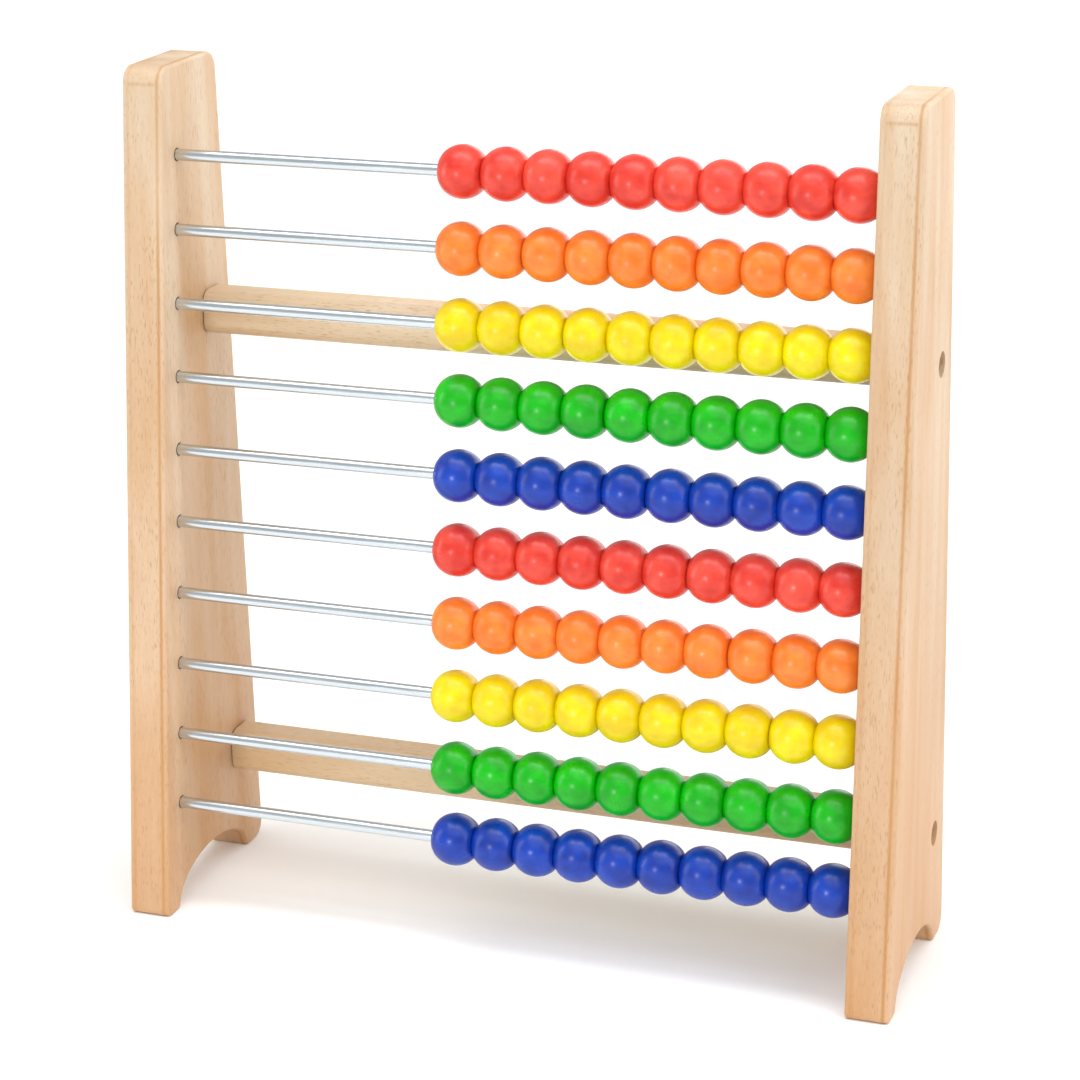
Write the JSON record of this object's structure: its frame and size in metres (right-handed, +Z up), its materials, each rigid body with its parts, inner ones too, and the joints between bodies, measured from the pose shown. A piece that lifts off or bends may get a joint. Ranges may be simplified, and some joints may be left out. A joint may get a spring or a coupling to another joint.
{
  "type": "abacus",
  "caption": "Standing counting frame: rods of sliding coloured wooden beads between two beech side boards joined by cross rails.",
  "frame": {"origin": "on the ground under the middle of the frame's box", "axes": "+X along the rods from the left board to the right board, +Y from front to rear, +Z up"},
  "size_m": [0.2694, 0.0776, 0.292],
  "materials": {
    "beech_board": "clear matte lacquer over straight-grained beech",
    "beech_rail": "clear matte lacquer over straight-grained beech",
    "rod_steel": "bright drawn and zinc-plated wire",
    "screw_steel": "yellowed zinc plating, dull",
    "red_paint": "turned wood under satin-gloss opaque paint",
    "orange_paint": "turned wood under satin-gloss opaque paint",
    "yellow_paint": "turned wood under satin-gloss opaque paint",
    "green_paint": "turned wood under satin-gloss opaque paint",
    "blue_paint": "turned wood under satin-gloss opaque paint"
  },
  "bodies": {
    "frame": {"left_board": "beech_board", "right_board": "beech_board", "upper_rail": "beech_rail", "lower_rail": "beech_rail", "upper_rail_left_screw": "screw_steel", "upper_rail_right_screw": "screw_steel", "lower_rail_left_screw": "screw_steel", "lower_rail_right_screw": "screw_steel"},
    "rod_01": {"row01_rod": "rod_steel"},
    "right_beads_01": {"row01_right_beads": "red_paint", "row01_right_lead_bead": "red_paint"},
    "left_beads_01": {"row01_left_lead_bead": "red_paint"},
    "rod_02": {"row02_rod": "rod_steel"},
    "right_beads_02": {"row02_right_beads": "orange_paint", "row02_right_lead_bead": "orange_paint"},
    "left_beads_02": {"row02_left_beads": "orange_paint", "row02_left_lead_bead": "orange_paint"},
    "rod_03": {"row03_rod": "rod_steel"},
    "right_beads_03": {"row03_right_beads": "yellow_paint", "row03_right_lead_bead": "yellow_paint"},
    "left_beads_03": {"row03_left_beads": "yellow_paint", "row03_left_lead_bead": "yellow_paint"},
    "rod_04": {"row04_rod": "rod_steel"},
    "right_beads_04": {"row04_right_beads": "green_paint", "row04_right_lead_bead": "green_paint"},
    "left_beads_04": {"row04_left_beads": "green_paint", "row04_left_lead_bead": "green_paint"},
    "rod_05": {"row05_rod": "rod_steel"},
    "right_beads_05": {"row05_right_beads": "blue_paint", "row05_right_lead_bead": "blue_paint"},
    "left_beads_05": {"row05_left_beads": "blue_paint", "row05_left_lead_bead": "blue_paint"},
    "rod_06": {"row06_rod": "rod_steel"},
    "right_beads_06": {"row06_right_beads": "red_paint", "row06_right_lead_bead": "red_paint"},
    "left_beads_06": {"row06_left_beads": "red_paint", "row06_left_lead_bead": "red_paint"},
    "rod_07": {"row07_rod": "rod_steel"},
    "right_beads_07": {"row07_right_beads": "orange_paint", "row07_right_lead_bead": "orange_paint"},
    "left_beads_07": {"row07_left_beads": "orange_paint", "row07_left_lead_bead": "orange_paint"},
    "rod_08": {"row08_rod": "rod_steel"},
    "right_beads_08": {"row08_right_beads": "yellow_paint", "row08_right_lead_bead": "yellow_paint"},
    "left_beads_08": {"row08_left_beads": "yellow_paint", "row08_left_lead_bead": "yellow_paint"},
    "rod_09": {"row09_rod": "rod_steel"},
    "right_beads_09": {"row09_right_lead_bead": "green_paint"},
    "left_beads_09": {"row09_left_beads": "green_paint", "row09_left_lead_bead": "green_paint"},
    "rod_10": {"row10_rod": "rod_steel"},
    "left_beads_10": {"row10_left_beads": "blue_paint", "row10_left_lead_bead": "blue_paint"}
  },
  "joints": [
    {"name": "rod_01_spin", "type": "hinge", "parent": "frame", "child": "rod_01", "pos_m": [0, -0.00395, 0.26204], "axis": [1, 0, 0], "continuous": true},
    {"name": "right_beads_01_slide", "type": "slide", "parent": "rod_01", "child": "right_beads_01", "axis": [-1, 0, 0], "range_m": [0, 0.094]},
    {"name": "left_beads_01_slide", "type": "slide", "parent": "right_beads_01", "child": "left_beads_01", "axis": [1, 0, 0], "range_m": [-0.094, 0]},
    {"name": "rod_02_spin", "type": "hinge", "parent": "frame", "child": "rod_02", "pos_m": [0, -0.00626, 0.23714], "axis": [1, 0, 0], "continuous": true},
    {"name": "right_beads_02_slide", "type": "slide", "parent": "rod_02", "child": "right_beads_02", "axis": [-1, 0, 0], "range_m": [0, 0.094]},
    {"name": "left_beads_02_slide", "type": "slide", "parent": "right_beads_02", "child": "left_beads_02", "axis": [1, 0, 0], "range_m": [-0.094, 0]},
    {"name": "rod_03_spin", "type": "hinge", "parent": "frame", "child": "rod_03", "pos_m": [0, -0.00856, 0.21225], "axis": [1, 0, 0], "continuous": true},
    {"name": "right_beads_03_slide", "type": "slide", "parent": "rod_03", "child": "right_beads_03", "axis": [-1, 0, 0], "range_m": [0, 0.094]},
    {"name": "left_beads_03_slide", "type": "slide", "parent": "right_beads_03", "child": "left_beads_03", "axis": [1, 0, 0], "range_m": [-0.094, 0]},
    {"name": "rod_04_spin", "type": "hinge", "parent": "frame", "child": "rod_04", "pos_m": [0, -0.01087, 0.18736], "axis": [1, 0, 0], "continuous": true},
    {"name": "right_beads_04_slide", "type": "slide", "parent": "rod_04", "child": "right_beads_04", "axis": [-1, 0, 0], "range_m": [0, 0.094]},
    {"name": "left_beads_04_slide", "type": "slide", "parent": "right_beads_04", "child": "left_beads_04", "axis": [1, 0, 0], "range_m": [-0.094, 0]},
    {"name": "rod_05_spin", "type": "hinge", "parent": "frame", "child": "rod_05", "pos_m": [0, -0.01318, 0.16247], "axis": [1, 0, 0], "continuous": true},
    {"name": "right_beads_05_slide", "type": "slide", "parent": "rod_05", "child": "right_beads_05", "axis": [-1, 0, 0], "range_m": [0, 0.094]},
    {"name": "left_beads_05_slide", "type": "slide", "parent": "right_beads_05", "child": "left_beads_05", "axis": [1, 0, 0], "range_m": [-0.094, 0]},
    {"name": "rod_06_spin", "type": "hinge", "parent": "frame", "child": "rod_06", "pos_m": [0, -0.01549, 0.13757], "axis": [1, 0, 0], "continuous": true},
    {"name": "right_beads_06_slide", "type": "slide", "parent": "rod_06", "child": "right_beads_06", "axis": [-1, 0, 0], "range_m": [0, 0.094]},
    {"name": "left_beads_06_slide", "type": "slide", "parent": "right_beads_06", "child": "left_beads_06", "axis": [1, 0, 0], "range_m": [-0.094, 0]},
    {"name": "rod_07_spin", "type": "hinge", "parent": "frame", "child": "rod_07", "pos_m": [0, -0.0178, 0.11268], "axis": [1, 0, 0], "continuous": true},
    {"name": "right_beads_07_slide", "type": "slide", "parent": "rod_07", "child": "right_beads_07", "axis": [-1, 0, 0], "range_m": [0, 0.094]},
    {"name": "left_beads_07_slide", "type": "slide", "parent": "right_beads_07", "child": "left_beads_07", "axis": [1, 0, 0], "range_m": [-0.094, 0]},
    {"name": "rod_08_spin", "type": "hinge", "parent": "frame", "child": "rod_08", "pos_m": [0, -0.02011, 0.08779], "axis": [1, 0, 0], "continuous": true},
    {"name": "right_beads_08_slide", "type": "slide", "parent": "rod_08", "child": "right_beads_08", "axis": [-1, 0, 0], "range_m": [0, 0.094]},
    {"name": "left_beads_08_slide", "type": "slide", "parent": "right_beads_08", "child": "left_beads_08", "axis": [1, 0, 0], "range_m": [-0.094, 0]},
    {"name": "rod_09_spin", "type": "hinge", "parent": "frame", "child": "rod_09", "pos_m": [0, -0.02242, 0.06289], "axis": [1, 0, 0], "continuous": true},
    {"name": "right_beads_09_slide", "type": "slide", "parent": "rod_09", "child": "right_beads_09", "axis": [-1, 0, 0], "range_m": [0, 0.094]},
    {"name": "left_beads_09_slide", "type": "slide", "parent": "right_beads_09", "child": "left_beads_09", "axis": [1, 0, 0], "range_m": [-0.094, 0]},
    {"name": "rod_10_spin", "type": "hinge", "parent": "frame", "child": "rod_10", "pos_m": [0, -0.02473, 0.038], "axis": [1, 0, 0], "continuous": true},
    {"name": "left_beads_10_slide", "type": "slide", "parent": "rod_10", "child": "left_beads_10", "axis": [-1, 0, 0], "range_m": [0, 0.094]}
  ]
}
